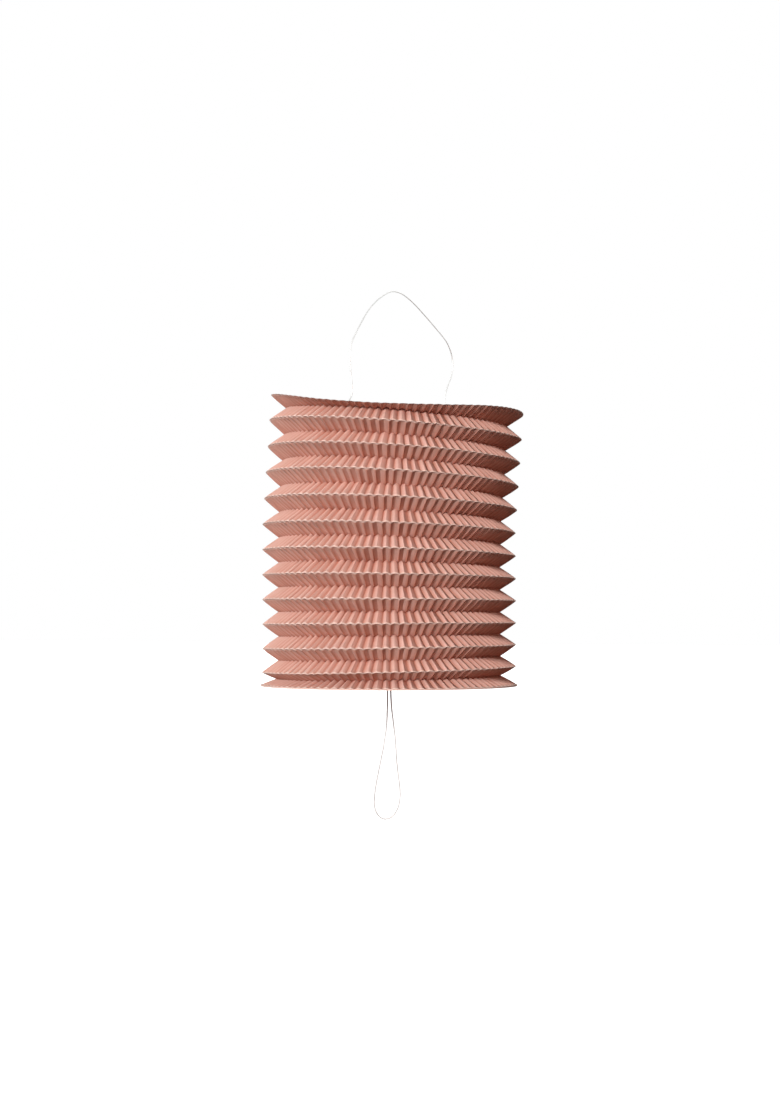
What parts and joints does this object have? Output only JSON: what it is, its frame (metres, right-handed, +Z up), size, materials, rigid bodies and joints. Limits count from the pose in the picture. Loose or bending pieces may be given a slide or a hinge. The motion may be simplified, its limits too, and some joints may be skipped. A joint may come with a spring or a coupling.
{
  "type": "accordion paper lantern",
  "caption": "Round pleated paper bellows lantern with a card ring and disc, a wire swing handle, a candle cup and a string pull loop; it folds flat.",
  "frame": {"origin": "the point under the top of the wire handle from which the lantern hangs", "axes": "+Z up, with the top ring centred on it, +X along the handle's pivot axis through the two ears of the top ring"},
  "size_m": [0.1637, 0.1656, 0.3361],
  "materials": {
    "paper": "matte",
    "card": "matte",
    "wire": "satin",
    "tin": "satin",
    "string": "matte"
  },
  "bodies": {
    "handle": {"wire_handle": "wire"},
    "top": {"rim_panel_top": "paper", "top_ring": "card"},
    "pleat_01": {"pleat_01": "paper"},
    "pleat_02": {"pleat_02": "paper"},
    "pleat_03": {"pleat_03": "paper"},
    "pleat_04": {"pleat_04": "paper"},
    "pleat_05": {"pleat_05": "paper"},
    "pleat_06": {"pleat_06": "paper"},
    "pleat_07": {"pleat_07": "paper"},
    "pleat_08": {"pleat_08": "paper"},
    "pleat_09": {"pleat_09": "paper"},
    "pleat_10": {"pleat_10": "paper"},
    "pleat_11": {"pleat_11": "paper"},
    "bottom": {"rim_panel_bottom": "paper", "bottom_disc": "card", "candle_holder": "tin", "string_knot": "string"},
    "loop": {"pull_loop": "string"}
  },
  "joints": [
    {"name": "handle_swing", "type": "hinge", "parent": "handle", "child": "top", "pos_m": [0, 0, -0.0795], "axis": [1, 0, 0], "range_deg": [-66, 66]},
    {"name": "collapse", "type": "slide", "parent": "top", "child": "bottom", "axis": [0, 0, 1], "range_m": [0, 0.15303], "deforming": ["rim_panel_top", "rim_panel_bottom"]},
    {"name": "fold_01", "type": "slide", "parent": "top", "child": "pleat_01", "axis": [0, 0, 1], "range_m": [0, 0.00732], "deforming": ["pleat_01"]},
    {"name": "fold_02", "type": "slide", "parent": "top", "child": "pleat_02", "axis": [0, 0, 1], "range_m": [0, 0.0218], "deforming": ["pleat_02"]},
    {"name": "fold_03", "type": "slide", "parent": "top", "child": "pleat_03", "axis": [0, 0, 1], "range_m": [0, 0.0361], "deforming": ["pleat_03"]},
    {"name": "fold_04", "type": "slide", "parent": "top", "child": "pleat_04", "axis": [0, 0, 1], "range_m": [0, 0.05024], "deforming": ["pleat_04"]},
    {"name": "fold_05", "type": "slide", "parent": "top", "child": "pleat_05", "axis": [0, 0, 1], "range_m": [0, 0.0642], "deforming": ["pleat_05"]},
    {"name": "fold_06", "type": "slide", "parent": "top", "child": "pleat_06", "axis": [0, 0, 1], "range_m": [0, 0.07798], "deforming": ["pleat_06"]},
    {"name": "fold_07", "type": "slide", "parent": "top", "child": "pleat_07", "axis": [0, 0, 1], "range_m": [0, 0.0916], "deforming": ["pleat_07"]},
    {"name": "fold_08", "type": "slide", "parent": "top", "child": "pleat_08", "axis": [0, 0, 1], "range_m": [0, 0.10504], "deforming": ["pleat_08"]},
    {"name": "fold_09", "type": "slide", "parent": "top", "child": "pleat_09", "axis": [0, 0, 1], "range_m": [0, 0.11832], "deforming": ["pleat_09"]},
    {"name": "fold_10", "type": "slide", "parent": "top", "child": "pleat_10", "axis": [0, 0, 1], "range_m": [0, 0.13142], "deforming": ["pleat_10"]},
    {"name": "fold_11", "type": "slide", "parent": "top", "child": "pleat_11", "axis": [0, 0, 1], "range_m": [0, 0.14435], "deforming": ["pleat_11"]},
    {"name": "loop_swing", "type": "hinge", "parent": "bottom", "child": "loop", "pos_m": [-0.00233, 0.00404, -0.2503], "axis": [0.5, -0.866, 0], "range_deg": [-35, 35]}
  ],
  "couplings": [
    {"joint": "fold_01", "follows": "collapse", "ratio": 0.047858},
    {"joint": "fold_02", "follows": "collapse", "ratio": 0.14245},
    {"joint": "fold_03", "follows": "collapse", "ratio": 0.23592},
    {"joint": "fold_04", "follows": "collapse", "ratio": 0.32827},
    {"joint": "fold_05", "follows": "collapse", "ratio": 0.4195},
    {"joint": "fold_06", "follows": "collapse", "ratio": 0.5096},
    {"joint": "fold_07", "follows": "collapse", "ratio": 0.59858},
    {"joint": "fold_08", "follows": "collapse", "ratio": 0.68644},
    {"joint": "fold_09", "follows": "collapse", "ratio": 0.77318},
    {"joint": "fold_10", "follows": "collapse", "ratio": 0.85879},
    {"joint": "fold_11", "follows": "collapse", "ratio": 0.94328}
  ]
}
